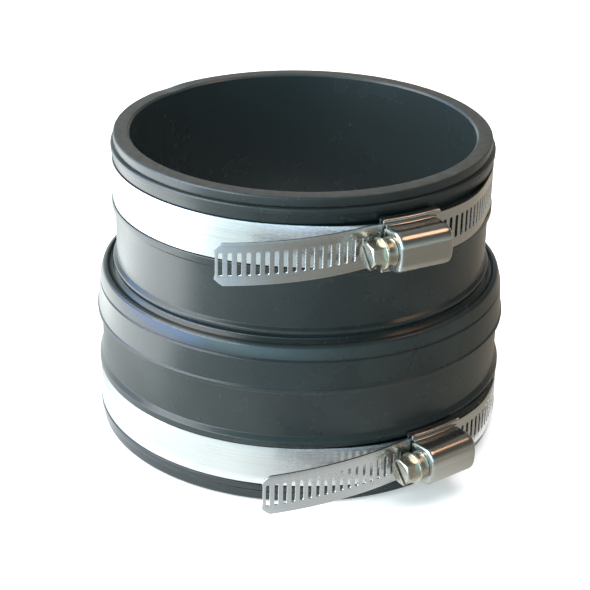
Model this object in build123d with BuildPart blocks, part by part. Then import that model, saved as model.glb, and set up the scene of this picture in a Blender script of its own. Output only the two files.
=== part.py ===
"""Flexible pipe coupling: a moulded rubber sleeve with a worm-drive band clamp at each end.

Millimetres. The origin is on the sleeve's axis, in the plane of its lower (larger) end face,
and +Z points to the upper (smaller) end. Each clamp is modelled with its screw housing on
the -Y side, its free tail pointing to -X, and is then turned about Z into its own place.
"""
from build123d import *
from math import cos, degrees, radians, sin
import os

# ---- sleeve --------------------------------------------------------------------------------
height = 102.0
upper_bore_r = 57.2          # takes pipe of 4.5 in (114.3 mm) outside diameter
lower_bore_r = 63.2          # takes pipe of up to 126 mm outside diameter
pipe_stop_z = 46.0           # the lower pipe stops against the step between the two bores
stop_slope = 3.0             # height of the taper from the step to the upper bore
mouth_chamfer = 0.7

upper_body_r = 62.5
rim_r = 62.6
upper_bead_r = 63.6
root_bead_r = 63.8           # bead round the foot of the upper collar
shoulder_r = 68.5
notch_r = 68.0
ring_r = 69.6
lower_body_r = 68.1
lower_bead_r = 69.4
lower_lip_r = 68.7

root_bead_z = 56.4           # underside of the bead
shoulder_z = 54.9            # outer corner of the shoulder, before it is rounded
shoulder_lip_r = 65.6        # inner edge of the shoulder's lip
gutter_z = 53.2              # floor of the gutter between the lip and the upper collar
notch_z = 50.2
ring_z = 39.8                # lower edge of the raised ring

# ---- bands ---------------------------------------------------------------------------------
band_width = 13.6
band_t = 0.6
groove_width = 14.2
groove_gap = 0.3             # slack between the band and the floor of its groove
upper_band_z = 86.5          # middle of the upper groove
lower_band_z = 13.1          # middle of the lower groove
upper_band_r = 62.7          # inside radius of the loop
lower_band_r = 68.6

slot_pitch = 2.75
slot_length = 7.3
slot_width = 1.25
slots_on_loop = 30           # slots on the loop side of the screw
slots_on_tail = 22           # slots on the tail side of the screw
end_margin = 1.9             # from the middle of the last slot to the end of the tail
tail_chamfer = 2.2
slot_cut_depth = 8.0         # radial length of the slot cutter
seam_gap = 0.3               # between the ends of the two halves, at the back
ramp_start = 9.0             # degrees from the saddle's end to the ramp down to the loop
ramp_turn = 27.0             # degrees that each ramp takes

# ---- saddle and housing --------------------------------------------------------------------
saddle_lift = 1.3            # inside of the saddle above the inside of the loop
saddle_t = 0.4
saddle_half_width = 8.7
layer_gap = 0.1              # running gap between the two layers of band
housing_length = 19.0
sheet_t = 0.8
bore_gap = 0.3               # between the thread and the tunnel
passage_half_width = 7.0
lip_inner = 7.3                # from the middle to the edge of the saddle's folded lip

saddle_overhang = 1.03       # length of the saddle over that of the housing
feet_share = 0.94            # length of the feet over that of the housing
fold_r = 0.35                # outside rounding of the saddle's folds
crown_round = 0.7

# ---- screw ---------------------------------------------------------------------------------
thread_r = 4.9
root_r = 3.95
bite = 0.5                   # depth of the thread in the slots
crest_width = 0.55
foot_width = 1.3
thread_sink = 0.2            # depth of the thread's foot inside the core
thread_turns = 5
end_float = 0.1
pilot_r = 2.5
pilot_proud = 0.5            # stub of the screw beyond the housing
pivot_gap = 0.1
collar_r = 4.8
collar_length = 3.1
flange_r = 5.1
flange_t = 0.9
hex_across_flats = 7.94      # 5/16 in
hex_length = 4.4
hex_chamfer = 0.5
driver_slot_width = 1.3
driver_slot_depth = 1.8

tail_length = slots_on_tail * slot_pitch + end_margin - housing_length / 2
tail_lead = 2.2              # straight run of the tail beside the collar, before it bends out
tail_bend_r = 16.0


# ---- placement -----------------------------------------------------------------------------
upper_turn = 30.0            # degrees that the upper clamp's housing stands round from -Y
lower_turn = 38.0
upper_tail_heading = 5.0     # degrees that the tail's root points away from the screw's axis
lower_tail_heading = 1.0
upper_tail_r = 78.0          # the tail's own curl, which follows the loop it was wound to
lower_tail_r = 121.0


def sleeve_outline():
    """Corners of the half section and the rounding at each, from the lower mouth outwards."""
    half = groove_width / 2
    low, high = lower_band_z - half, lower_band_z + half
    low_2, high_2 = upper_band_z - half, upper_band_z + half
    lower_floor = lower_band_r - groove_gap
    upper_floor = upper_band_r - groove_gap
    return [
        (lower_bore_r + mouth_chamfer, 0, 0.2),
        (lower_lip_r, 0, 0.8),
        (lower_lip_r, 3.3, 0.2),
        (lower_lip_r - 0.5, 3.6, 0.1),
        (lower_bead_r, 3.9, 0.5),
        (lower_bead_r, low, 0.4),
        (lower_floor, low, 0.2),
        (lower_floor, high, 0.2),
        (lower_bead_r, high, 0.4),
        (lower_bead_r, high + 2.3, 0.5),
        (lower_body_r, high + 3.4, 0.6),
        (lower_body_r, ring_z - 1.2, 0.9),
        (ring_r - 0.1, ring_z, 0.8),
        (ring_r, ring_z + 1.4, 0.8),
        (shoulder_r, notch_z - 0.5, 0.3),
        (notch_r, notch_z, 0.15),
        (shoulder_r, notch_z + 0.5, 0.3),
        (shoulder_r, shoulder_z, 2.2),
        (shoulder_lip_r, shoulder_z + 0.6, 0.5),
        (shoulder_lip_r - 0.7, gutter_z, 0.6),
        (upper_body_r + 0.3, gutter_z, 0.5),
        (upper_body_r + 0.3, root_bead_z, 0.2),
        (root_bead_r, root_bead_z + 0.2, 0.3),
        (root_bead_r, root_bead_z + 1.3, 0.4),
        (upper_body_r, root_bead_z + 1.9, 0.2),
        (upper_body_r, low_2 - 3.2, 0.6),
        (upper_bead_r, low_2 - 2.4, 0.5),
        (upper_bead_r, low_2, 0.4),
        (upper_floor, low_2, 0.2),
        (upper_floor, high_2, 0.2),
        (upper_body_r + 0.4, high_2, 0.3),
        (upper_body_r + 0.4, high_2 + 2.6, 0.2),
        (upper_bead_r, high_2 + 2.9, 0.5),
        (upper_bead_r, height - 3.6, 0.5),
        (rim_r - 0.4, height - 3.3, 0.1),
        (rim_r, height - 3.0, 0.2),
        (rim_r, height, 0.7),
        (upper_bore_r + mouth_chamfer, height, 0.2),
        (upper_bore_r, height - mouth_chamfer, 0.2),
        (upper_bore_r, pipe_stop_z + stop_slope, 1.0),
        (upper_bore_r + 1.0, pipe_stop_z, 0.3),
        (lower_bore_r, pipe_stop_z, 0.4),
        (lower_bore_r, mouth_chamfer, 0.2),
    ]


def make_sleeve():
    corners = sleeve_outline()
    with BuildPart() as sleeve:
        with BuildSketch(Plane.XZ):
            with BuildLine():
                points = [(r, z) for r, z, rounding in corners]
                FilletPolyline(*points, radius=[rounding for r, z, rounding in corners], close=True)
            make_face()
        revolve(axis=Axis.Z)
    return sleeve.part


def on_circle(r, angle):
    """A point at radius r, angle degrees round from -Y towards +X."""
    return (r * sin(radians(angle)), -r * cos(radians(angle)))


def levels(loop_r):
    """Radii of the stack at the screw: saddle, fixed layer, slotted layer, its outside, axis."""
    saddle = loop_r + saddle_lift
    fixed = saddle + saddle_t
    slotted = fixed + band_t + layer_gap
    outside = slotted + band_t
    return saddle, fixed, slotted, outside, outside + thread_r - bite


def pitch_angle(loop_r):
    """Turn of the slotted strip about Z for one turn of the screw, in degrees."""
    slotted = levels(loop_r)[2]
    return degrees(slot_pitch / (slotted + band_t / 2))


def half_angle(loop_r):
    """Angle between the middle and one end of the saddle."""
    return degrees(housing_length / 2 / levels(loop_r)[1])


def clockwise(angle):
    """Direction along a circle towards smaller angles, at an angle round from -Y."""
    return (-cos(radians(angle)), -sin(radians(angle)))


def arc_down(r, angle_from, angle_to):
    """Arc from one angle to a smaller one."""
    return CenterArc((0, 0), r, angle_from - 90, angle_to - angle_from)


def ramp(r_from, angle_from, r_to, angle_to):
    """Smooth step of the strip from one radius to another, towards smaller angles."""
    ends = (on_circle(r_from, angle_from), on_circle(r_to, angle_to))
    return Spline(*ends, tangents=[clockwise(angle_from), clockwise(angle_to)])


def tail_runs(loop_r, heading, curl_r):
    """Runs of the tail after the housing: length, heading at its start, turn inwards."""
    leave = -half_angle(loop_r)
    bend = radians(heading - leave) * tail_bend_r
    curl = tail_length - tail_lead - bend
    return [(tail_lead, leave, 0), (bend, leave, leave - heading), (curl, heading, degrees(curl / curl_r))]


def tail_point(loop_r, heading, curl_r, run, offset):
    """Point a run along the tail from the housing's end, offset outwards, and its heading."""
    middle_r = levels(loop_r)[2] + band_t / 2
    x, y = on_circle(middle_r, -half_angle(loop_r))
    for length, start, turn in tail_runs(loop_r, heading, curl_r):
        done = min(run, length)
        now = start - turn * done / length
        half_way = clockwise((start + now) / 2)
        half_turn = radians(start - now) / 2
        chord = done * sin(half_turn) / half_turn if half_turn else done
        x += chord * half_way[0]
        y += chord * half_way[1]
        run -= done
        if run <= 0:
            break
    side = offset - band_t / 2
    return (x + side * sin(radians(now)), y - side * cos(radians(now))), now


def slotted_path(loop_r, heading, curl_r, offset):
    """One face of the slotted strip, offset outwards, from the seam at +Y to the tail's end."""
    top = levels(loop_r)[2] + offset
    low = loop_r + offset
    seam = 180 - degrees(seam_gap / 2 / loop_r)
    leave = -half_angle(loop_r)
    land = half_angle(loop_r) + ramp_start
    rest = land + ramp_turn
    lengths = [length for length, start, turn in tail_runs(loop_r, heading, curl_r)]
    lead, bend, curl = lengths
    stops = [lead, lead + bend / 2, lead + bend, lead + bend + curl / 2, lead + bend + curl]
    corner, mid_bend, out, mid_curl, end = [
        tail_point(loop_r, heading, curl_r, stop, offset)[0] for stop in stops]
    arc_down(low, seam, rest)
    ramp(low, rest, top, land)
    arc_down(top, land, leave)
    Line(on_circle(top, leave), corner)
    ThreePointArc(corner, mid_bend, out)
    ThreePointArc(out, mid_curl, end)
    return on_circle(low, seam), end


def fixed_path(loop_r, offset):
    """One face of the plain strip, offset outwards, from the saddle round to the seam at +Y."""
    top = levels(loop_r)[1] + offset
    low = loop_r + offset
    seam = -180 + degrees(seam_gap / 2 / loop_r)
    tip = half_angle(loop_r)
    rest = -tip - ramp_turn
    arc_down(top, tip, -tip)
    ramp(top, -tip, low, rest)
    arc_down(low, rest, seam)
    return on_circle(top, tip), on_circle(low, seam)


def make_band_loop(loop_r, middle_z):
    """The plain half of the band, from under the screw round the -X side to the seam."""
    with BuildPart() as band:
        with BuildSketch(Plane.XY.offset(middle_z)):
            with BuildLine():
                inner = fixed_path(loop_r, 0)
                outer = fixed_path(loop_r, band_t)
                Line(inner[0], outer[0])
                Line(inner[1], outer[1])
            make_face()
        extrude(amount=band_width / 2, both=True)
    return band.part


def slot_places(loop_r, middle_z, heading, curl_r):
    """Place of every slot: evenly round the strip, then evenly along the tail."""
    middle_r = levels(loop_r)[2] + band_t / 2
    step = pitch_angle(loop_r)
    half = half_angle(loop_r)
    on_arc = int(half / step)
    places = []
    for n in range(-on_arc, slots_on_loop + 1):
        x, y = on_circle(middle_r, n * step)
        places.append(Location((x, y, middle_z), (0, 0, n * step)))
    for n in range(on_arc + 1, slots_on_tail + 1):
        run = n * slot_pitch - radians(half) * middle_r
        (x, y), now = tail_point(loop_r, heading, curl_r, run, band_t / 2)
        places.append(Location((x, y, middle_z), (0, 0, now)))
    return places


def make_band_tail(loop_r, middle_z, heading, curl_r):
    """The slotted half, from the seam round the +X side, through the housing to the tail."""
    with BuildPart() as band:
        with BuildSketch(Plane.XY.offset(middle_z)):
            with BuildLine():
                inner = slotted_path(loop_r, heading, curl_r, 0)
                outer = slotted_path(loop_r, heading, curl_r, band_t)
                Line(inner[0], outer[0])
                Line(inner[1], outer[1])
            make_face()
        extrude(amount=band_width / 2, both=True)
        tail_end = band.faces().filter_by(GeomType.PLANE).sort_by(Axis.X)[0]
        chamfer(tail_end.edges().filter_by(Axis.Z, reverse=True), tail_chamfer)
        with Locations(*slot_places(loop_r, middle_z, heading, curl_r)):
            Box(slot_width, slot_cut_depth, slot_length, mode=Mode.SUBTRACT)
    return band.part


def make_saddle(loop_r, middle_z):
    """Curved plate under the housing, with its edges folded up and over the feet."""
    saddle, fixed, slotted, outside, axis_r = levels(loop_r)
    foot_top = outside + layer_gap + sheet_t
    lip_top = foot_top + saddle_t
    foot_half_width = saddle_half_width - saddle_t
    angle = half_angle(loop_r) * saddle_overhang
    inwards = (Align.MIN, Align.CENTER)
    with BuildPart() as plate:
        with BuildSketch(Plane.XZ):
            with Locations((saddle, middle_z)):
                Rectangle(lip_top - saddle, 2 * saddle_half_width, align=inwards)
            with Locations((fixed, middle_z)):
                Rectangle(foot_top - fixed, 2 * foot_half_width, align=inwards, mode=Mode.SUBTRACT)
            with Locations((foot_top, middle_z)):
                Rectangle(saddle_t, 2 * lip_inner, align=inwards, mode=Mode.SUBTRACT)
        revolve(axis=Axis.Z, revolution_arc=2 * angle)
        folds = plate.edges().filter_by(GeomType.CIRCLE).group_by(Axis.Z)
        fillet(folds[0] + folds[-1], fold_r)
    return plate.part.rotate(Axis.Z, -90 - angle)


def make_housing(loop_r, middle_z):
    """Stamped tunnel over the screw, with a foot along each side on the saddle."""
    saddle, fixed, slotted, outside, axis_r = levels(loop_r)
    foot_top = outside + layer_gap + sheet_t
    tunnel_in = thread_r + bore_gap
    tunnel_out = tunnel_in + sheet_t
    angle = half_angle(loop_r) * feet_share
    end_x = housing_length / 2
    inwards = (Align.MIN, Align.CENTER)
    with BuildPart() as feet:
        with BuildSketch(Plane.XZ):
            with Locations((fixed, middle_z)):
                Rectangle(foot_top - fixed, 2 * (saddle_half_width - saddle_t), align=inwards)
        revolve(axis=Axis.Z, revolution_arc=2 * angle)
    left_end = Plane(origin=(-end_x, -axis_r, middle_z), x_dir=(0, 1, 0), z_dir=(1, 0, 0))
    with BuildPart() as housing:
        with BuildSketch(left_end):
            Circle(tunnel_out)
            Rectangle(axis_r - slotted, 2 * tunnel_out, align=inwards)
        extrude(amount=housing_length)
        crown = housing.edges().filter_by(GeomType.CIRCLE)
        fillet(crown, crown_round)
        add(feet.part.rotate(Axis.Z, -90 - angle))
        with BuildSketch(left_end.offset(sheet_t)):
            Circle(tunnel_in)
            Rectangle(axis_r - slotted, 2 * tunnel_in, align=inwards)
        extrude(amount=housing_length - 2 * sheet_t, mode=Mode.SUBTRACT)
        with BuildSketch(left_end):
            Circle(root_r + pivot_gap)
        extrude(amount=housing_length / 2, mode=Mode.SUBTRACT)
        with BuildSketch(left_end):
            Circle(pilot_r + pivot_gap)
        extrude(amount=housing_length, mode=Mode.SUBTRACT)
        with BuildSketch(Plane.XY.offset(middle_z)):
            Circle(outside + layer_gap)
        extrude(amount=passage_half_width, both=True, mode=Mode.SUBTRACT)
    return housing.part


def make_screw(loop_r, middle_z):
    """Worm screw: slotted hex head with a flange, a collar outside the housing, the thread."""
    end_z = housing_length / 2
    core_end = end_z - sheet_t - end_float
    head_z = -end_z - end_float - collar_length
    hex_z = head_z - flange_t - hex_length
    thread_length = thread_turns * slot_pitch
    worm_r = root_r - thread_sink
    with BuildPart() as screw:
        with BuildSketch(Plane.XY.offset(hex_z)):
            RegularPolygon(hex_across_flats / 2, 6, major_radius=False)
        extrude(amount=hex_length)
        chamfer(screw.faces().sort_by(Axis.Z)[0].edges(), hex_chamfer)
        with BuildSketch(Plane.XY.offset(hex_z)):
            Rectangle(4 * hex_across_flats, driver_slot_width)
        extrude(amount=driver_slot_depth, mode=Mode.SUBTRACT)
        with BuildSketch(Plane.XY.offset(head_z - flange_t)):
            Circle(flange_r)
        extrude(amount=flange_t)
        with BuildSketch(Plane.XY.offset(head_z)):
            Circle(collar_r)
        extrude(amount=collar_length)
        with BuildSketch(Plane.XY.offset(head_z)):
            Circle(root_r)
        extrude(amount=core_end - head_z)
        with BuildSketch(Plane.XY.offset(core_end)):
            Circle(pilot_r)
        extrude(amount=end_z + pilot_proud - core_end)
    with BuildPart() as thread:
        with BuildLine():
            Helix(slot_pitch, thread_length, worm_r, center=(0, 0, -thread_length / 2))
        with BuildSketch(Plane.XZ):
            with Locations((worm_r, -thread_length / 2)):
                with BuildLine():
                    Polyline(
                        (0, -foot_width / 2),
                        (thread_sink, -foot_width / 2),
                        (thread_r - worm_r, -crest_width / 2),
                        (thread_r - worm_r, crest_width / 2),
                        (thread_sink, foot_width / 2),
                        (0, foot_width / 2),
                        close=True,
                    )
                make_face()
        sweep(is_frenet=True)
    with BuildPart() as worm:
        add(screw.part)
        add(thread.part)
    axis_r = levels(loop_r)[4]
    place = Plane(origin=(0, -axis_r, middle_z), x_dir=(0, -1, 0), z_dir=(1, 0, 0))
    return worm.part.moved(place.location)


def save(piece, name):
    piece.label = name
    export_step(piece, f"parts/{name}.step")


def make_clamp(end, loop_r, middle_z, turn, heading, curl_r):
    """Write the pieces of one clamp, turned round into its place."""
    pieces = {
        "band_loop": make_band_loop(loop_r, middle_z),
        "band_tail": make_band_tail(loop_r, middle_z, heading, curl_r),
        "saddle": make_saddle(loop_r, middle_z),
        "housing": make_housing(loop_r, middle_z),
        "screw": make_screw(loop_r, middle_z),
    }
    for piece_name, piece in pieces.items():
        save(piece.rotate(Axis.Z, turn), f"{end}_{piece_name}")
    axis_r = levels(loop_r)[4]
    print(end, "screw axis radius", round(axis_r, 4), "turn a pitch", round(pitch_angle(loop_r), 5))


os.makedirs("parts", exist_ok=True)
save(make_sleeve(), "sleeve")
make_clamp("upper", upper_band_r, upper_band_z, upper_turn, upper_tail_heading, upper_tail_r)
make_clamp("lower", lower_band_r, lower_band_z, lower_turn, lower_tail_heading, lower_tail_r)
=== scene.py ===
"""Looks of the flexible pipe coupling: rubber sleeve, two stainless band clamps, studio."""
import math

import bmesh
import bpy
from mathutils import Matrix, Vector


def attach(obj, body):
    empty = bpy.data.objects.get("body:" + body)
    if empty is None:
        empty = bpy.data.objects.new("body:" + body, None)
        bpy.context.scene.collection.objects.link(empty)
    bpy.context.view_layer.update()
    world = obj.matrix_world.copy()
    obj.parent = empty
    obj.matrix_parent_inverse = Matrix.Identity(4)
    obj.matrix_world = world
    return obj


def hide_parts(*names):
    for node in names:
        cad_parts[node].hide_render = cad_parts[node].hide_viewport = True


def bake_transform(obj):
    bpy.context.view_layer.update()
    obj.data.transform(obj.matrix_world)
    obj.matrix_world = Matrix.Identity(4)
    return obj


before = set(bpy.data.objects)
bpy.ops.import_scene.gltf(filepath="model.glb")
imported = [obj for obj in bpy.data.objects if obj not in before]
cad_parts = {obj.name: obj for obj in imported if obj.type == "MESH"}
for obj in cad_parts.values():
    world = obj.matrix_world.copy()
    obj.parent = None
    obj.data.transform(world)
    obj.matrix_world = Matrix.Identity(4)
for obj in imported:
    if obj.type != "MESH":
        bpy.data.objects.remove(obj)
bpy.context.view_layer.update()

MM = 0.001

# ---- sizes of the bands, in millimetres, as the CAD model has them ---------------------------
BAND_WIDTH = 13.6
BAND_T = 0.6
SLOT_PITCH = 2.75
SLOT_LENGTH = 7.3
SLOT_WIDTH = 1.25
SLOTS_ON_LOOP = 30
SLOTS_ON_TAIL = 22
END_MARGIN = 1.9
TAIL_CHAMFER = 2.2
SADDLE_LIFT = 1.3
SADDLE_T = 0.4
LAYER_GAP = 0.1
HOUSING_LENGTH = 19.0
SHEET_T = 0.8
TUNNEL_R = 6.0
FEET_SHARE = 0.94
SADDLE_OVERHANG = 1.03
AXIS_LIFT = 4.4
END_ROUND = 1.7
NEAR_ROUND = 0.9
CROWN_POWER = 3.0
CROWN_SPREAD = 1.1
HEAD_TOP = -18.0
HEX_FLATS = 7.94
HEX_LENGTH = 4.4
HEX_PHASE = math.radians(12.0)
FLANGE_T = 0.9
COLLAR_LENGTH = 3.1
DRIVER_WIDTH = 1.3
DRIVER_DEPTH = 1.8
DRIVER_PHASE = math.radians(-50.0)
THREAD_TURNS = 5
SLOT_CORNER = 0.42
STRIP_SOFT = 0.07
RAMP_START = 9.0
RAMP_TURN = 27.0
TAIL_LEAD = 2.2
TAIL_BEND_R = 16.0
CLAMPS = {
    "upper": {"z": 86.5, "loop_r": 62.7, "turn": 30.0, "heading": 5.0, "curl_r": 78.0},
    "lower": {"z": 13.1, "loop_r": 68.6, "turn": 38.0, "heading": 1.0, "curl_r": 121.0},
}

# ---- sleeve ----------------------------------------------------------------------------------
GROOVE_WIDTH = 14.2
GROOVE_GAP = 0.3
LATHE_STEPS = 320
ARC_R = 0.065                # radius, in metres, at which arc lengths round the axis are true
RIM_FROM = 96.0
RIM_SPAN = 6.0
WANDER_IN = 0.10
WANDER_DOWN = 0.12
DENT_TURN = 141.0
DENT_WIDTH = 4.5
DENT_IN = 0.4
DENT_DOWN = 0.2


# ---- node helpers ----------------------------------------------------------------------------
def node_maker(tree):
    """A function that adds a node to a tree, with its settings, values and links."""
    def node(kind, inputs=None, **settings):
        made = tree.nodes.new(kind)
        for key, value in settings.items():
            setattr(made, key, value)
        for key, value in (inputs or {}).items():
            if isinstance(value, bpy.types.NodeSocket):
                tree.links.new(value, made.inputs[key])
            else:
                made.inputs[key].default_value = value
        return made

    return node


def new_material(name):
    """A material with a cleared tree, its Principled shader and a maker of linked nodes."""
    material = bpy.data.materials.new(name)
    material.use_nodes = True
    tree = material.node_tree
    tree.nodes.clear()
    output = tree.nodes.new("ShaderNodeOutputMaterial")
    shader = tree.nodes.new("ShaderNodeBsdfPrincipled")
    tree.links.new(shader.outputs["BSDF"], output.inputs["Surface"])
    return material, shader, node_maker(tree), tree.links


def ramp(node, factor, stops):
    """A colour ramp through (place, colour) stops."""
    made = node("ShaderNodeValToRGB", {"Fac": factor})
    elements = made.color_ramp.elements
    while len(elements) < len(stops):
        elements.new(0.5)
    for element, (place, colour) in zip(elements, stops):
        element.position = place
        element.color = (*colour, 1.0)
    return made.outputs["Color"]


def scaled(node, vector, scale):
    made = node("ShaderNodeMapping", {"Vector": vector, "Scale": scale})
    return made.outputs["Vector"]


def noise(node, vector, scale, detail=4.0, roughness=0.55):
    made = node("ShaderNodeTexNoise", {
        "Vector": vector, "Scale": scale, "Detail": detail, "Roughness": roughness})
    return made.outputs["Fac"]


def span(node, value, low, high, to_low, to_high):
    made = node("ShaderNodeMapRange", {
        "Value": value, "From Min": low, "From Max": high, "To Min": to_low, "To Max": to_high})
    return made.outputs["Result"]


def bump(node, height, strength, distance, normal=None):
    inputs = {"Height": height, "Strength": strength, "Distance": distance}
    if normal is not None:
        inputs["Normal"] = normal
    return node("ShaderNodeBump", inputs).outputs["Normal"]


def round_axis(node):
    """Coordinates that run round the sleeve's axis: arc length at 65 mm, radius and height."""
    place = node("ShaderNodeTexCoord").outputs["Object"]
    split = node("ShaderNodeSeparateXYZ", {"Vector": place}).outputs
    angle = node("ShaderNodeMath", {0: split["X"], 1: split["Y"]}, operation="ARCTAN2")
    arc = node("ShaderNodeMath", {0: angle.outputs[0], 1: ARC_R}, operation="MULTIPLY")
    squares = [node("ShaderNodeMath", {0: split[k], 1: split[k]}, operation="MULTIPLY").outputs[0]
               for k in ("X", "Y")]
    total = node("ShaderNodeMath", {0: squares[0], 1: squares[1]}, operation="ADD")
    radius = node("ShaderNodeMath", {0: total.outputs[0], 1: 0.5}, operation="POWER")
    joined = node("ShaderNodeCombineXYZ", {
        "X": arc.outputs[0], "Y": radius.outputs[0], "Z": split["Z"]})
    return joined.outputs["Vector"]


# ---- materials -------------------------------------------------------------------------------
def rubber_material():
    """Moulded black-green elastomer: mottled, satin, with fine grain, edges lightened partly as
    scuffs and partly as painted highlight, and painted light in the bore.
    """
    material, shader, node, link = new_material("moulded_rubber")
    place = node("ShaderNodeTexCoord").outputs["Object"]
    around = round_axis(node)
    clouds = noise(node, place, 38.0, 5.0)
    specks = noise(node, place, 460.0, 3.0, 0.6)
    base = ramp(node, clouds, [
        (0.30, (0.0095, 0.0135, 0.0135)), (0.55, (0.0130, 0.0180, 0.0178)),
        (0.75, (0.0190, 0.0245, 0.0240))])
    radius = node("ShaderNodeSeparateXYZ", {"Vector": around}).outputs["Y"]
    # Painted light: the bore gets a lighter teal colour that stands in for light bounced round
    # inside the sleeve and the sheen on its far wall.
    bore_light_mask = span(node, radius, 0.0610, 0.0590, 0.0, 1.0)
    bore_painted_light = node("ShaderNodeMix", {"Factor": bore_light_mask, 6: base, 7: (0.0225, 0.0300, 0.0310, 1)},
                 data_type="RGBA")
    height = node("ShaderNodeSeparateXYZ", {"Vector": place}).outputs["Z"]
    cut = span(node, height, 0.10165, 0.1019, 0.0, 1.0)
    cut_face = ramp(node, specks, [(0.35, (0.017, 0.017, 0.0145)), (0.65, (0.034, 0.033, 0.028))])
    rimmed = node("ShaderNodeMix", {"Factor": cut, 6: bore_painted_light.outputs[2], 7: cut_face},
                  data_type="RGBA")
    # Edges lightened: partly scuffs on the moulding, partly a painted highlight standing in for the
    # sheen along the edges.
    edges = node("ShaderNodeNewGeometry").outputs["Pointiness"]
    scuff_and_sheen = span(node, edges, 0.53, 0.60, 0.0, 0.5)
    broken_scuff_and_sheen = node("ShaderNodeMath", {0: scuff_and_sheen, 1: clouds}, operation="MULTIPLY").outputs[0]
    mixed = node("ShaderNodeMix", {"Factor": broken_scuff_and_sheen, 6: rimmed.outputs[2],
                                   7: (0.060, 0.068, 0.065, 1)}, data_type="RGBA")
    dust = span(node, specks, 0.62, 0.80, 0.0, 0.16)
    dusted = node("ShaderNodeMix", {"Factor": dust, 6: mixed.outputs[2],
                                    7: (0.06, 0.065, 0.062, 1)}, data_type="RGBA")
    link.new(dusted.outputs[2], shader.inputs["Base Color"])
    satin = span(node, clouds, 0.3, 0.7, 0.22, 0.30)
    rough = node("ShaderNodeMix", {"Factor": cut, 2: satin, 3: 0.55})
    link.new(rough.outputs[0], shader.inputs["Roughness"])
    grain = bump(node, specks, 0.035, 0.00012)
    waves = bump(node, clouds, 0.05, 0.0006, grain)
    link.new(waves, shader.inputs["Normal"])
    shader.inputs["Specular IOR Level"].default_value = 0.5
    return material


def steel_material(name, tint, rough_low, rough_high, streak, scratch_depth):
    """Bright rolled stainless steel, its rolling lines running along the strip."""
    material, shader, node, link = new_material(name)
    place = node("ShaderNodeTexCoord").outputs["Object"]
    around = round_axis(node)
    lines = noise(node, scaled(node, around, (18.0, 1.0, streak)), 1.0, 5.0, 0.6)
    fine = noise(node, scaled(node, around, (90.0, 1.0, streak * 3.2)), 1.0, 2.0, 0.5)
    smudge = noise(node, place, 70.0, 4.0)
    dark = tuple(0.90 * c for c in tint)
    base = ramp(node, lines, [(0.20, dark), (0.48, tint), (0.80, tuple(1.04 * c for c in tint))])
    haze = span(node, smudge, 0.45, 0.72, 0.0, 0.35)
    mixed = node("ShaderNodeMix", {"Factor": haze, 6: base, 7: (*[0.86 * c for c in tint], 1)},
                 data_type="RGBA")
    link.new(mixed.outputs[2], shader.inputs["Base Color"])
    shader.inputs["Metallic"].default_value = 1.0
    rough = node("ShaderNodeMath", {
        0: span(node, lines, 0.3, 0.7, rough_low, rough_high),
        1: span(node, smudge, 0.4, 0.7, 0.0, 0.06)}, operation="ADD")
    link.new(rough.outputs[0], shader.inputs["Roughness"])
    scored = bump(node, fine, 0.10, scratch_depth)
    rolled = bump(node, lines, 0.10, scratch_depth, scored)
    link.new(rolled, shader.inputs["Normal"])
    return material


def screw_material():
    """Zinc plated steel with a faint yellow passivation and lighter worn edges."""
    material, shader, node, link = new_material("plated_screw")
    place = node("ShaderNodeTexCoord").outputs["Object"]
    blotches = noise(node, place, 260.0, 4.0)
    fine = noise(node, place, 1500.0, 3.0)
    base = ramp(node, blotches, [
        (0.28, (0.28, 0.24, 0.16)), (0.50, (0.43, 0.38, 0.28)), (0.72, (0.58, 0.54, 0.44))])
    edges = node("ShaderNodeNewGeometry").outputs["Pointiness"]
    worn = span(node, edges, 0.50, 0.58, 0.0, 0.8)
    mixed = node("ShaderNodeMix", {"Factor": worn, 6: base, 7: (0.80, 0.79, 0.74, 1)},
                 data_type="RGBA")
    link.new(mixed.outputs[2], shader.inputs["Base Color"])
    shader.inputs["Metallic"].default_value = 1.0
    link.new(span(node, blotches, 0.3, 0.7, 0.20, 0.36), shader.inputs["Roughness"])
    link.new(bump(node, fine, 0.15, 0.00006), shader.inputs["Normal"])
    return material


def floor_material():
    material, shader, node, link = new_material("pale_floor")
    place = node("ShaderNodeTexCoord").outputs["Object"]
    shade = noise(node, place, 2.0, 2.0)
    link.new(ramp(node, shade, [(0.3, (0.86, 0.86, 0.86)), (0.7, (0.89, 0.89, 0.89))]),
             shader.inputs["Base Color"])
    shader.inputs["Roughness"].default_value = 0.9
    shader.inputs["Specular IOR Level"].default_value = 0.1
    shader.inputs["Emission Color"].default_value = (1.0, 1.0, 1.0, 1.0)
    shader.inputs["Emission Strength"].default_value = FLOOR_GLOW
    return material


# ---- mesh helpers ----------------------------------------------------------------------------
def mesh_object(name, bm, material, smooth_angle=35.0):
    """Turn a bmesh into an object with one material, smooth except across sharp edges."""
    bmesh.ops.recalc_face_normals(bm, faces=bm.faces)
    mesh = bpy.data.meshes.new(name)
    bm.to_mesh(mesh)
    bm.free()
    mesh.materials.append(material)
    mesh.shade_smooth()
    mesh.set_sharp_from_angle(angle=math.radians(smooth_angle))
    made = bpy.data.objects.new(name, mesh)
    bpy.context.scene.collection.objects.link(made)
    return made


def rounded(corners, steps=5):
    """The closed outline through (x, y, radius) corners, with each corner rounded."""
    points = []
    count = len(corners)
    for i, (x, y, radius) in enumerate(corners):
        here = Vector((x, y))
        back = (Vector(corners[i - 1][:2]) - here)
        ahead = (Vector(corners[(i + 1) % count][:2]) - here)
        half = back.angle(ahead) / 2
        cut = min(radius / math.tan(half), 0.49 * back.length, 0.49 * ahead.length)
        start = here + back.normalized() * cut
        end = here + ahead.normalized() * cut
        for k in range(steps + 1):
            t = k / steps
            points.append((1 - t) ** 2 * start + 2 * t * (1 - t) * here + t ** 2 * end)
    return points


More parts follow.
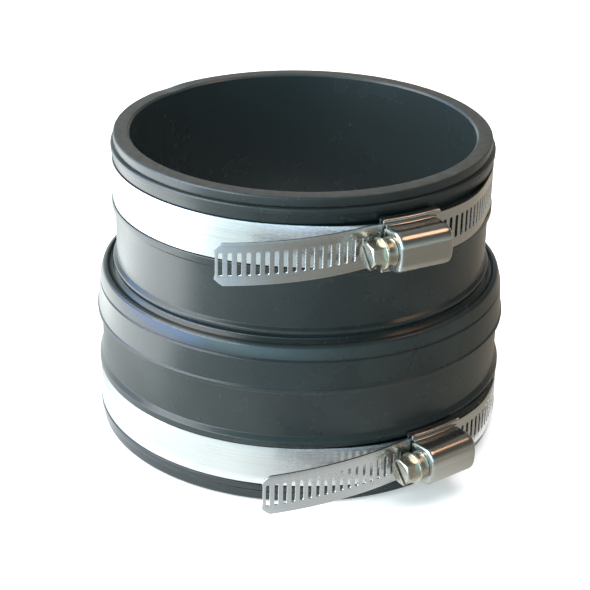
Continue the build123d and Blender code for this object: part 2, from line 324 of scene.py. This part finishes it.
# ---- sleeve ----------------------------------------------------------------------------------
def sleeve_corners():
    """Half section of the sleeve: (radius, height, rounding), from the lower mouth outwards."""
    half = GROOVE_WIDTH / 2
    low, high = CLAMPS["lower"]["z"] - half, CLAMPS["lower"]["z"] + half
    low_2, high_2 = CLAMPS["upper"]["z"] - half, CLAMPS["upper"]["z"] + half
    floor_1 = CLAMPS["lower"]["loop_r"] - GROOVE_GAP
    floor_2 = CLAMPS["upper"]["loop_r"] - GROOVE_GAP
    return [
        (63.9, 0, 0.2), (68.7, 0, 0.8), (68.7, 3.3, 0.2), (68.2, 3.6, 0.1), (69.4, 3.9, 0.5),
        (69.4, low, 0.4), (floor_1, low, 0.2), (floor_1, high, 0.2), (69.4, high, 0.4),
        (69.4, high + 2.0, 0.6), (68.1, high + 3.5, 0.5), (68.1, 38.9, 0.7), (69.55, 39.6, 0.4),
        (69.6, 40.7, 0.35), (69.15, 41.1, 0.3), (68.5, 49.7, 0.3), (68.0, 50.2, 0.15),
        (68.5, 50.7, 0.3),
        (67.4, 54.8, 1.6), (65.9, 55.3, 0.5), (65.2, 54.2, 0.5), (64.2, 54.0, 0.9),
        (62.9, 55.3, 0.9), (62.8, 56.7, 0.2), (63.8, 57.0, 0.3), (63.7, 58.1, 0.6),
        (62.5, 58.9, 0.3),
        (62.5, low_2 - 3.2, 0.6),
        (63.6, low_2 - 2.4, 0.5), (63.6, low_2, 0.4), (floor_2, low_2, 0.2),
        (floor_2, high_2, 0.2), (62.9, high_2, 0.3), (62.9, high_2 + 2.6, 0.2),
        (63.6, high_2 + 2.9, 0.5), (63.6, 98.4, 0.5), (62.2, 98.7, 0.1), (62.6, 99.0, 0.2),
        (62.6, 102.0, 0.7), (57.9, 102.0, 0.2), (57.2, 101.3, 0.2), (57.2, 49.0, 1.0),
        (58.2, 46.0, 0.3), (63.2, 46.0, 0.4), (63.2, 0.7, 0.2),
    ]


def make_sleeve(material):
    outline = rounded(sleeve_corners())
    bm = bmesh.new()
    rings = []
    for k in range(LATHE_STEPS):
        angle = 2 * math.pi * k / LATHE_STEPS
        c, s = math.cos(angle), math.sin(angle)
        ring = []
        for p in outline:
            near_rim = min(max((p.y - RIM_FROM) / RIM_SPAN, 0.0), 1.0) ** 2
            away = (math.degrees(angle) - DENT_TURN) / DENT_WIDTH
            dent = math.exp(-away * away)
            wander = 0.5 + 0.5 * math.sin(3 * angle + 0.7)
            r = p.x - near_rim * (WANDER_IN * wander + DENT_IN * dent)
            height = p.y - near_rim * (WANDER_DOWN * wander + DENT_DOWN * dent)
            ring.append(bm.verts.new((r * c * MM, r * s * MM, height * MM)))
        rings.append(ring)
    count = len(outline)
    for k, ring in enumerate(rings):
        after = rings[(k + 1) % LATHE_STEPS]
        for i in range(count):
            j = (i + 1) % count
            bm.faces.new((ring[i], after[i], after[j], ring[j]))
    return mesh_object("sleeve_moulding", bm, material, 60.0)


# ---- bands -----------------------------------------------------------------------------------
class Strip:
    """The middle surface of one clamp's strip, in its own frame: housing at -Y, tail to -X."""

    def __init__(self, loop_r, heading, curl_r):
        self.loop_r = loop_r
        self.fixed_r = loop_r + SADDLE_LIFT + SADDLE_T
        self.slotted_r = self.fixed_r + BAND_T + LAYER_GAP
        self.middle_r = self.slotted_r + BAND_T / 2
        self.outside = self.slotted_r + BAND_T
        self.axis_r = self.outside + AXIS_LIFT
        self.step = math.degrees(SLOT_PITCH / self.middle_r)
        self.half = math.degrees(HOUSING_LENGTH / 2 / self.fixed_r)
        tail = SLOTS_ON_TAIL * SLOT_PITCH + END_MARGIN - HOUSING_LENGTH / 2
        bend = math.radians(heading + self.half) * TAIL_BEND_R
        curl = tail - TAIL_LEAD - bend
        self.runs = [(TAIL_LEAD, -self.half, 0), (bend, -self.half, -self.half - heading),
                     (curl, heading, math.degrees(curl / curl_r))]

    def on_tail(self, run):
        """Point and heading a run beyond the housing's end."""
        a = math.radians(-self.half)
        x, y = self.middle_r * math.sin(a), -self.middle_r * math.cos(a)
        now = -self.half
        for length, start, turn in self.runs:
            done = min(run, length)
            now = start - turn * done / length
            mid = math.radians((start + now) / 2)
            half_turn = math.radians(start - now) / 2
            chord = done * math.sin(half_turn) / half_turn if abs(half_turn) > 1e-9 else done
            x -= chord * math.cos(mid)
            y -= chord * math.sin(mid)
            run -= done
            if run <= 0:
                break
        return x, y, now

    def slotted(self, n):
        """Point and heading at slot number n, negative on the loop side of the screw."""
        run = n * SLOT_PITCH - math.radians(self.half) * self.middle_r
        if run > 0:
            return self.on_tail(run)
        angle = -n * self.step
        land = self.half + RAMP_START
        t = min(max((angle - land) / RAMP_TURN, 0.0), 1.0)
        r = self.slotted_r + (self.loop_r - self.slotted_r) * (3 * t * t - 2 * t ** 3) + BAND_T / 2
        a = math.radians(angle)
        return r * math.sin(a), -r * math.cos(a), angle

    def fixed(self, angle):
        """Point and heading on the plain half at an angle, negative to the tail's side."""
        t = min(max((-self.half - angle) / RAMP_TURN, 0.0), 1.0)
        r = self.fixed_r + (self.loop_r - self.fixed_r) * (3 * t * t - 2 * t ** 3) + BAND_T / 2
        a = math.radians(angle)
        return r * math.sin(a), -r * math.cos(a), angle


def sheet(bm, grid, thickness, missing=frozenset(), closed=False):
    """A sheet of even thickness about a grid of points, left open where cells are missing."""
    rows, columns = len(grid), len(grid[0])
    wraps = columns if closed else columns - 1
    cells = {(i, j) for i in range(rows - 1) for j in range(wraps)} - set(missing)
    made = {}

    def corner(side, i, j):
        j %= columns
        if (side, i, j) not in made:
            ahead, behind = min(i + 1, rows - 1), max(i - 1, 0)
            right = (j + 1) % columns if closed else min(j + 1, columns - 1)
            left = (j - 1) % columns if closed else max(j - 1, 0)
            along = grid[ahead][j] - grid[behind][j]
            across = grid[i][right] - grid[i][left]
            normal = along.cross(across).normalized()
            made[side, i, j] = bm.verts.new(grid[i][j] + normal * (side * thickness / 2))
        return made[side, i, j]

    for i, j in sorted(cells):
        ring = ((i, j), (i + 1, j), (i + 1, j + 1), (i, j + 1))
        for side in (-1, 1):
            bm.faces.new([corner(side, *p) for p in ring])
        borders = {(i - 1, j): (ring[0], ring[3]), (i + 1, j): (ring[1], ring[2]),
                   (i, j - 1): (ring[0], ring[1]), (i, j + 1): (ring[3], ring[2])}
        for (a, b), (p, q) in borders.items():
            beyond = (a, b % columns) if closed else (a, b)
            if beyond not in cells:
                bm.faces.new((corner(-1, *p), corner(-1, *q), corner(1, *q), corner(1, *p)))
    bmesh.ops.recalc_face_normals(bm, faces=bm.faces)
    return made


def bevel_edges(bm, edges, width, segments, profile=0.5):
    bmesh.ops.bevel(bm, geom=edges, offset=width, segments=segments, profile=profile,
                    affect="EDGES", clamp_overlap=True)
    bmesh.ops.recalc_face_normals(bm, faces=bm.faces)


def soften(bm, width, sharpest=1.0):
    """Take the edge off every sharp edge."""
    sharp = [e for e in bm.edges if len(e.link_faces) == 2 and e.calc_face_angle(0) > sharpest]
    bevel_edges(bm, sharp, width, 2, 0.6)


def turned(bm, turn):
    bmesh.ops.rotate(bm, verts=bm.verts, cent=(0, 0, 0),
                     matrix=Matrix.Rotation(math.radians(turn), 3, "Z"))


def strip_grid(stations, z):
    """Points of the strip's middle surface: stations are ((x, y, heading), heights)."""
    return [[Vector((x, y, z + v)) * MM for v in heights] for (x, y, _), heights in stations]


def make_slotted(name, strip, z, turn, material):
    """The slotted half of the band, from the seam at the back to the end of the tail."""
    share = SLOT_WIDTH / SLOT_PITCH / 2
    half, slot = BAND_WIDTH / 2, SLOT_LENGTH / 2
    seam_n = -180 / strip.step
    plain_end = -(SLOTS_ON_LOOP + 1)
    places = [seam_n + (plain_end - seam_n) * k / 60 for k in range(60)]
    holes = set()
    for n in range(-SLOTS_ON_LOOP, SLOTS_ON_TAIL + 1):
        places += [n - 0.5, n - 0.34]
        holes.add((len(places), 1))
        places += [n - share, n + share, n + 0.34]
    end = SLOTS_ON_TAIL + END_MARGIN / SLOT_PITCH
    begin = end - TAIL_CHAMFER / SLOT_PITCH
    stations = []
    for n in places:
        cut = max(n - begin, 0) * SLOT_PITCH
        stations.append((strip.slotted(n), (-half + cut, -slot, slot, half - cut)))
    inset = 0.35 / SLOT_PITCH
    tips = [strip.slotted(end), strip.slotted(end - inset)]
    bm = bmesh.new()
    grid = strip_grid(stations, z)
    corner = half - TAIL_CHAMFER
    grid.append([Vector((*tips[k][:2], z + v)) * MM
                 for k, v in ((0, -corner), (1, -slot * 0.8), (1, slot * 0.8), (0, corner))])
    made = sheet(bm, grid, BAND_T * MM, holes)
    uprights = [bm.edges.get((made[-1, i, j], made[1, i, j]))
                for c, _ in sorted(holes) for i in (c, c + 1) for j in (1, 2)]
    bevel_edges(bm, uprights, SLOT_CORNER * MM, 3)
    soften(bm, STRIP_SOFT * MM)
    turned(bm, turn)
    return mesh_object(name, bm, material, 40.0)


def make_plain(name, strip, z, turn, material, marked):
    """The plain half of the band, from under the screw round the back to the seam."""
    count = 140
    tip = strip.half
    angles = [tip - (tip + 180) * k / count for k in range(count + 1)]
    heights = (-BAND_WIDTH / 2, -BAND_WIDTH / 6, BAND_WIDTH / 6, BAND_WIDTH / 2)
    bm = bmesh.new()
    sheet(bm, strip_grid([(strip.fixed(a), heights) for a in angles], z), BAND_T * MM)
    if marked:
        stamped_frame(bm, strip, z)
    soften(bm, STRIP_SOFT * MM)
    turned(bm, turn)
    return mesh_object(name, bm, material, 40.0)


def stamped_frame(bm, strip, z):
    """A small empty rectangle, pressed a little proud of the plain half."""
    middle, long, tall, line = -38.0, 1.5, 0.9, 0.22
    above, proud = 3.6, 0.16
    r = strip.loop_r + BAND_T
    bars = [(-long, -long + line, -tall, tall), (long - line, long, -tall, tall),
            (-long, long, -tall, -tall + line), (-long, long, tall - line, tall)]
    for s0, s1, v0, v1 in bars:
        grid = []
        for k in range(5):
            a = math.radians(middle) + (s0 + (s1 - s0) * k / 4) / r
            grid.append([Vector((r * math.sin(a), -r * math.cos(a), z + above + v)) * MM
                         for v in (v0, v1)])
        sheet(bm, grid, proud * MM)


def make_band(end, strip, material):
    """Both halves of one clamp's band, bent across the seam so that the strip stays whole."""
    clamp = CLAMPS[end]
    plain = make_plain(f"{end}_band_plain", strip, clamp["z"], clamp["turn"], material,
                       end == "upper")
    slotted = make_slotted(f"{end}_band_slotted", strip, clamp["z"], clamp["turn"], material)
    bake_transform(plain)
    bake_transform(slotted)
    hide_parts(f"{end}_band_loop")
    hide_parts(f"{end}_band_tail")


# ---- clamp heads -----------------------------------------------------------------------------
def at(s, w, h, z):
    """Point s along the screw, w up from the band's middle and h out from the sleeve's axis."""
    return Vector((s, -h, w + z)) * MM


def fullness(a):
    """How far the tunnel's crown swells beyond a circle in direction a."""
    return (abs(math.cos(a)) ** CROWN_POWER + abs(math.sin(a)) ** CROWN_POWER) ** (-1 / CROWN_POWER)


def tunnel_foot():
    """Half section of the foot's middle surface: (w, level over the foot), out to the leg."""
    return [(7.9, -1.6), (7.9, -0.45), (7.77, -0.13), (7.45, 0.0), (7.2, 0.02), (6.85, 0.12),
            (6.5, 0.35), (6.24, 0.66), (6.16, 1.0)]


def make_housing(end, strip, z, turn, material):
    """Stamped tunnel: a wall with a round edge at each end, and a foot along each side."""
    foot_r = strip.outside + LAYER_GAP + SHEET_T / 2
    middle = TUNNEL_R - SHEET_T / 2
    foot = tunnel_foot()
    ends = HOUSING_LENGTH / 2
    corner = END_ROUND - SHEET_T / 2
    crown_steps, leg_steps, length_steps, end_steps = 24, 3, 14, 6

    def foot_point(s, k, side):
        w, lift = foot[k]
        return at(s, side * w, math.sqrt(foot_r ** 2 - s ** 2) + lift, z)

    def arch(s, inset):
        """Legs and crown of one station, from the lower side over to the upper side."""
        r = middle - inset
        base = math.sqrt(foot_r ** 2 - min(abs(s), ends) ** 2) + foot[-1][1]
        legs = [base + (strip.axis_r - base) * k / leg_steps for k in range(leg_steps)]
        wide = r * CROWN_SPREAD
        points = [at(s, -wide, h, z) for h in legs]
        for k in range(crown_steps + 1):
            a = math.pi * k / crown_steps
            reach = r * fullness(a)
            points.append(at(s, -CROWN_SPREAD * reach * math.cos(a),
                             strip.axis_r + reach * math.sin(a), z))
        return points + [at(s, wide, h, z) for h in reversed(legs)]

    grid = []
    near_corner = NEAR_ROUND - SHEET_T / 2
    near_from, round_from = NEAR_ROUND - ends, ends - END_ROUND
    for k in range(end_steps, 0, -1):
        a = math.pi / 2 * k / end_steps
        grid.append((near_from - near_corner * math.sin(a), near_corner * (1 - math.cos(a)), None))
    for k in range(length_steps + 1):
        t = k / length_steps
        grid.append((near_from + (round_from - near_from) * t, 0.0,
                     (2 * t - 1) * ends * FEET_SHARE))
    for k in range(1, end_steps + 1):
        a = math.pi / 2 * k / end_steps
        grid.append((round_from + corner * math.sin(a), corner * (1 - math.cos(a)), None))
    rows = []
    missing = set()
    count = len(foot) - 1
    for i, (s, inset, foot_s) in enumerate(grid):
        over = arch(s, inset)
        place = s if foot_s is None else foot_s
        lower = [foot_point(place, k, -1) for k in range(count)]
        upper = [foot_point(place, k, 1) for k in reversed(range(count))]
        rows.append(lower + over + upper)
    width = len(rows[0])
    for i in range(len(grid) - 1):
        if grid[i][2] is None or grid[i + 1][2] is None:
            missing |= {(i, j) for j in range(count)}
            missing |= {(i, width - 2 - j) for j in range(count)}
    bm = bmesh.new()
    sheet(bm, rows, SHEET_T * MM, missing)
    floor = strip.axis_r - strip.outside - LAYER_GAP
    for s, hole, reach in ((-ends + 0.36, 4.05, 5.3), (ends - 0.36, 2.6, 4.75)):
        plate = [[], [], []]
        for k in range(64):
            a = 2 * math.pi * k / 64
            c, up = math.cos(a), math.sin(a)
            if up >= 0:
                edge = reach * fullness(a)
            else:
                edge = min(reach / max(abs(c), 1e-6), floor / abs(up))
            for ring, share in zip(plate, (0.0, 0.5, 1.0)):
                r = hole + (edge - hole) * share
                spread = 1 + (CROWN_SPREAD - 1) * share
                ring.append(at(s, spread * r * c, strip.axis_r + r * up, z))
        sheet(bm, plate, 0.7 * MM, closed=True)
    soften(bm, 0.16 * MM)
    turned(bm, turn)
    piece = mesh_object(f"{end}_housing_shell", bm, material, 40.0)
    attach(piece, f"{end}_clamp")
    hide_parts(f"{end}_housing")


def make_saddle(end, strip, z, turn, material):
    """Thin curved channel under the housing, its lips folded over the feet."""
    low = strip.loop_r + SADDLE_LIFT + SADDLE_T / 2
    top = strip.outside + LAYER_GAP + SHEET_T + SADDLE_T / 2
    half = [(7.3, top), (7.9, top), (8.2, top - 0.03), (8.42, top - 0.16), (8.5, top - 0.4),
            (8.5, (low + top) / 2), (8.5, low + 0.45), (8.42, low + 0.2), (8.2, low + 0.04),
            (7.8, low), (4.0, low), (0.0, low)]
    section = [(-w, r) for w, r in half] + [(w, r) for w, r in reversed(half[:-1])]
    reach = strip.half * SADDLE_OVERHANG
    steps = 28
    grid = []
    for k in range(steps + 1):
        t = 2 * k / steps - 1
        a = math.radians(reach * t)
        lift = 0.4 * max((abs(t) - 0.86) / 0.14, 0.0) ** 2
        row = []
        for w, r in section:
            raised = r + lift if r > (low + top) / 2 else r
            row.append(Vector((raised * math.sin(a), -raised * math.cos(a), w + z)) * MM)
        grid.append(row)
    bm = bmesh.new()
    sheet(bm, grid, SADDLE_T * MM)
    soften(bm, 0.1 * MM)
    turned(bm, turn)
    piece = mesh_object(f"{end}_saddle_channel", bm, material, 40.0)
    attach(piece, f"{end}_clamp")
    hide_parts(f"{end}_saddle")


def spun(bm, profile, steps, strip, z):
    """A closed body turned about the screw's axis from (place, radius) points."""
    rings = []
    for s, r in profile:
        if r < 1e-6:
            rings.append([bm.verts.new(at(s, 0, strip.axis_r, z))])
            continue
        rings.append([bm.verts.new(at(s, -r * math.sin(a), strip.axis_r + r * math.cos(a), z))
                      for a in (2 * math.pi * k / steps for k in range(steps))])
    for here, after in zip(rings, rings[1:]):
        for k in range(steps):
            j = (k + 1) % steps
            ring = [here[k % len(here)], after[k % len(after)],
                    after[j % len(after)], here[j % len(here)]]
            bm.faces.new(list(dict.fromkeys(ring)))


def hex_head(strip, z):
    """Hexagon with its corners turned down at the top."""
    bm = bmesh.new()
    steps = 96
    top, foot = HEAD_TOP, HEAD_TOP + HEX_LENGTH + 0.2
    flat = HEX_FLATS / 2
    crown = flat * 0.95
    rings = [[], [], [], []]
    for k in range(steps):
        a = 2 * math.pi * k / steps
        off = (math.degrees(a) % 60) - 30
        r = min(flat / math.cos(math.radians(off)), flat * 1.135)
        for ring, (radius, s) in zip(rings, (
                (crown, top), (r - 0.06, top + max(r - crown, 0) * 0.58),
                (r, top + max(r - crown, 0) * 0.58 + 0.09), (r, foot))):
            ring.append(bm.verts.new(at(s, -radius * math.sin(a + HEX_PHASE),
                                        strip.axis_r + radius * math.cos(a + HEX_PHASE), z)))
    for here, after in zip(rings, rings[1:]):
        for k in range(steps):
            j = (k + 1) % steps
            bm.faces.new((here[k], after[k], after[j], here[j]))
    bm.faces.new(rings[0])
    bm.faces.new(rings[-1])
    bmesh.ops.recalc_face_normals(bm, faces=bm.faces)
    return bm


def slot_cutter(strip, z):
    bm = bmesh.new()
    c, s = math.cos(DRIVER_PHASE), math.sin(DRIVER_PHASE)
    half, reach = DRIVER_WIDTH / 2, HEX_FLATS
    corners = []
    for x in (HEAD_TOP - 1.0, HEAD_TOP + DRIVER_DEPTH):
        for a, b in ((-reach, -half), (reach, -half), (reach, half), (-reach, half)):
            corners.append(bm.verts.new(at(x, a * s + b * c, strip.axis_r + a * c - b * s, z)))
    for face in ((0, 1, 2, 3), (4, 5, 6, 7), (0, 1, 5, 4), (1, 2, 6, 5), (2, 3, 7, 6),
                 (3, 0, 4, 7)):
        bm.faces.new([corners[k] for k in face])
    bmesh.ops.recalc_face_normals(bm, faces=bm.faces)
    return bm


def make_screw(end, strip, z, turn, material):
    """Worm screw: slotted hexagon, flange, collar and thread."""
    head = mesh_object("head_blank", hex_head(strip, z), material)
    cutter = mesh_object("head_cutter", slot_cutter(strip, z), material)
    cut = head.modifiers.new("driver", "BOOLEAN")
    cut.object = cutter
    cut.solver = "EXACT"
    graph = bpy.context.evaluated_depsgraph_get()
    graph.update()
    bm = bmesh.new()
    bm.from_object(head, graph)
    for spare in (head, cutter):
        bpy.data.objects.remove(spare, do_unlink=True)
    soften(bm, 0.1 * MM, 0.7)
    flange = HEAD_TOP + HEX_LENGTH
    collar = flange + FLANGE_T
    shank = collar + COLLAR_LENGTH
    tip = HOUSING_LENGTH / 2
    profile = [
        (flange, 0.0), (flange, 4.6), (flange + 0.06, 4.92), (flange + 0.2, 5.06),
        (flange + 0.45, 5.1), (collar - 0.2, 5.06), (collar - 0.05, 4.94), (collar, 4.75),
        (collar, 4.5), (collar + 0.12, 4.4), (collar + 0.5, 4.42), (shank - 0.35, 4.55),
        (shank - 0.1, 4.5), (shank, 4.35), (shank, 3.95), (tip - 0.9, 3.95), (tip - 0.9, 2.5),
        (tip + 0.3, 2.5), (tip + 0.5, 2.3), (tip + 0.5, 0.0)]
    spun(bm, profile, 72, strip, z)
    thread = ((-0.65, 3.75), (-0.28, 4.82), (-0.2, 4.9), (0.2, 4.9), (0.28, 4.82), (0.65, 3.75))
    steps = 40
    rings = []
    for k in range(THREAD_TURNS * steps + 1):
        a = 2 * math.pi * k / steps
        s = (k / steps - THREAD_TURNS / 2) * SLOT_PITCH
        ring = []
        for x, r in thread:
            ring.append(bm.verts.new(
                at(s + x, -r * math.sin(a), strip.axis_r + r * math.cos(a), z)))
        rings.append(ring)
    for here, after in zip(rings, rings[1:]):
        for k in range(len(thread)):
            j = (k + 1) % len(thread)
            bm.faces.new((here[k], after[k], after[j], here[j]))
    bm.faces.new(rings[0])
    bm.faces.new(rings[-1])
    turned(bm, turn)
    piece = mesh_object(f"{end}_worm_screw", bm, material, 32.0)
    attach(piece, f"{end}_screw")
    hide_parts(f"{end}_screw")


# ---- studio ----------------------------------------------------------------------------------
CAMERA_PLACE = Vector((0.0, -0.4992, 0.2775))
CAMERA_AIM = Vector((-0.00165, 0.0, 0.0404))
CAMERA_ROLL = 1.13
CAMERA_LENS = 97.2

CARD_INNER = 0.078
CARD_OUTER = 1.6
FLOOR_GLOW = 0.35
CARD_POWER = 5.0
CARD_FAR = [
    (-180, (0.25, 0.27, 0.27)), (-140, (0.27, 0.30, 0.30)), (-112, (0.84, 0.88, 0.88)),
    (-66, (1.05, 1.12, 1.12)), (-55, (0.31, 0.35, 0.35)), (-29, (0.205, 0.245, 0.25)),
    (-2, (0.125, 0.155, 0.175)), (14, (0.076, 0.081, 0.079)), (50, (0.060, 0.058, 0.050)),
    (120, (0.085, 0.075, 0.060)), (158, (0.14, 0.125, 0.105)), (180, (0.25, 0.27, 0.27))]
CARD_NEAR = [
    (-180, (0.25, 0.27, 0.27)), (-105, (0.19, 0.205, 0.205)), (-66, (0.36, 0.39, 0.39)),
    (-20, (0.28, 0.31, 0.31)), (2, (0.150, 0.160, 0.163)), (30, (0.160, 0.166, 0.160)),
    (58, (0.090, 0.085, 0.070)), (120, (0.085, 0.075, 0.060)), (180, (0.25, 0.27, 0.27))]
WORLD_TOP = 0.38
WORLD_TOP_SHARE = 0.27
FRONT_TINT = (1.5, 2.3, 2.7)
WORLD_SIDES = [
    (0.0, (3.4, 3.8, 3.9)), (0.25, (2.0, 2.3, 2.35)), (0.5, (1.15, 1.25, 1.25)),
    (0.72, (0.50, 0.48, 0.44)), (1.0, (0.34, 0.30, 0.25))]

# name, place, aim, size, power, colour, and the one more kind of ray that does not see it
LIGHTS = [
    ("key_left", (-0.75, -0.05, 0.75), (0, 0, 0.03), (0.9, 0.7), 9.0, (1, 1, 1), None),
    ("overhead", (0.0, 0.15, 1.3), (0, 0.0, 0), (1.5, 1.3), 27.0, (1, 1, 1), "visible_glossy"),
    ("strip_left", (-0.78, -0.45, 0.36), (0, 0, 0.05), (1.0, 0.12), 8.0,
     (0.86, 0.96, 1.0), "visible_diffuse"),
    ("blue_strip", (-0.90, -0.16, 0.075), (0, 0, 0.055), (0.95, 0.16), 4.5,
     (0.08, 0.30, 1.0), "visible_diffuse"),
    ("blue_window", (-0.9, 0.55, 0.65), (0, 0, 0.05), (0.4, 0.4), 2.6, (0.28, 0.50, 1.0), None),
    ("warm_lamp", (0.56, -0.03, 0.82), (0.035, -0.06, 0.06), (0.38, 0.26), 0.85,
     (1.0, 0.60, 0.38), None)]


def make_camera():
    data = bpy.data.cameras.new("camera")
    data.lens = CAMERA_LENS
    data.sensor_width = 36.0
    data.clip_start = 0.01
    camera = bpy.data.objects.new("camera", data)
    bpy.context.scene.collection.objects.link(camera)
    look = (CAMERA_AIM - CAMERA_PLACE).to_track_quat("-Z", "Y").to_matrix()
    roll = Matrix.Rotation(math.radians(CAMERA_ROLL), 3, "Z")
    camera.matrix_world = Matrix.Translation(CAMERA_PLACE) @ (look @ roll).to_4x4()
    bpy.context.scene.camera = camera


def softbox(name, place, aim, size, power, colour, unseen):
    """A rectangular soft light, hidden from the camera and, where one is named, from one more kind
    of ray.
    """
    data = bpy.data.lights.new(name, "AREA")
    data.shape = "RECTANGLE"
    data.size, data.size_y = size
    data.energy = power
    data.color = colour
    light = bpy.data.objects.new(name, data)
    bpy.context.scene.collection.objects.link(light)
    turn = (Vector(aim) - Vector(place)).to_track_quat("-Z", "Y").to_matrix().to_4x4()
    light.matrix_world = Matrix.Translation(Vector(place)) @ turn
    light.visible_camera = False
    if unseen:
        setattr(light, unseen, False)


def axis_angle(node):
    """Share of a turn round the vertical axis, 0.5 in front, less towards the left."""
    place = node("ShaderNodeTexCoord").outputs["Object"]
    split = node("ShaderNodeSeparateXYZ", {"Vector": place}).outputs
    ahead = node("ShaderNodeMath", {0: split["Y"], 1: -1.0}, operation="MULTIPLY").outputs[0]
    angle = node("ShaderNodeMath", {0: split["X"], 1: ahead}, operation="ARCTAN2").outputs[0]
    length = node("ShaderNodeVectorMath", {0: place}, operation="LENGTH").outputs["Value"]
    return span(node, angle, -math.pi, math.pi, 0.0, 1.0), length


def card_material():
    """What the shining surfaces see of the table: bright on the left, tan on the right."""
    material, shader, node, link = new_material("reflection_card")
    turn, length = axis_angle(node)
    near, far = (
        ramp(node, turn, [((degrees + 180.0) / 360.0, colour) for degrees, colour in stops])
        for stops in (CARD_NEAR, CARD_FAR))
    away = span(node, length, 0.115, 0.150, 0.0, 1.0)
    mixed = node("ShaderNodeMix", {"Factor": away, 6: near, 7: far}, data_type="RGBA")
    link.new(mixed.outputs[2], shader.inputs["Emission Color"])
    shader.inputs["Emission Strength"].default_value = CARD_POWER
    shader.inputs["Base Color"].default_value = (0.0, 0.0, 0.0, 1.0)
    shader.inputs["Specular IOR Level"].default_value = 0.0
    return material


def make_studio():
    bm = bmesh.new()
    bmesh.ops.create_grid(bm, x_segments=1, y_segments=1, size=6.0)
    floor = mesh_object("floor", bm, floor_material())
    floor.location.z = -0.0002
    bm = bmesh.new()
    near, far = ([bm.verts.new((r * math.cos(a), r * math.sin(a), 0))
                  for a in (2 * math.pi * k / 64 for k in range(64))]
                 for r in (CARD_INNER, CARD_OUTER))
    for k in range(64):
        j = (k + 1) % 64
        bm.faces.new((near[k], far[k], far[j], near[j]))
    card = mesh_object("reflection_card", bm, card_material())
    card.location.z = 0.0004
    card.visible_camera = False
    card.visible_diffuse = False
    card.visible_shadow = False
    card.visible_transmission = False
    make_world()
    for light in LIGHTS:
        softbox(*light)
    bpy.context.scene.view_settings.view_transform = "Standard"


def make_world():
    """Surroundings: light near the horizon and on the left, darker and tan on the right."""
    world = bpy.data.worlds.new("studio")
    world.use_nodes = True
    tree = world.node_tree
    node = node_maker(tree)
    place = node("ShaderNodeTexCoord").outputs["Generated"]
    split = node("ShaderNodeSeparateXYZ", {"Vector": place}).outputs
    sides = ramp(node, span(node, split["X"], -1.0, 1.0, 0.0, 1.0), WORLD_SIDES)
    rise = span(node, split["Z"], 0.0, WORLD_TOP, 1.0, WORLD_TOP_SHARE)
    shaded = node("ShaderNodeMix", {"Factor": 1.0, 6: sides, 7: rise},
                  data_type="RGBA", blend_type="MULTIPLY")
    front = span(node, split["Y"], -0.2, -0.9, 0.0, 1.0)
    window = node("ShaderNodeMix", {"Factor": front, 6: shaded.outputs[2], 7: (*FRONT_TINT, 1.0)},
                  data_type="RGBA", blend_type="MULTIPLY")
    background = tree.nodes["Background"]
    tree.links.new(window.outputs[2], background.inputs["Color"])
    background.inputs["Strength"].default_value = 1.0
    bpy.context.scene.world = world


# ---- assembly --------------------------------------------------------------------------------
def main():
    rubber = rubber_material()
    band_steel = steel_material("band_steel_look", (0.57, 0.575, 0.57), 0.19, 0.27, 1400.0, 0.00002)
    housing_steel = steel_material(
        "housing_steel_look", (0.55, 0.54, 0.515), 0.15, 0.24, 1100.0, 0.00002)
    saddle_steel = steel_material(
        "saddle_steel_look", (0.54, 0.535, 0.52), 0.17, 0.27, 1200.0, 0.00002)
    screw = screw_material()
    sleeve = make_sleeve(rubber)
    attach(sleeve, "sleeve")
    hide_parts("sleeve")
    for end, clamp in CLAMPS.items():
        strip = Strip(clamp["loop_r"], clamp["heading"], clamp["curl_r"])
        make_band(end, strip, band_steel)
        make_housing(end, strip, clamp["z"], clamp["turn"], housing_steel)
        make_saddle(end, strip, clamp["z"], clamp["turn"], saddle_steel)
        make_screw(end, strip, clamp["z"], clamp["turn"], screw)
    make_studio()
    make_camera()


main()
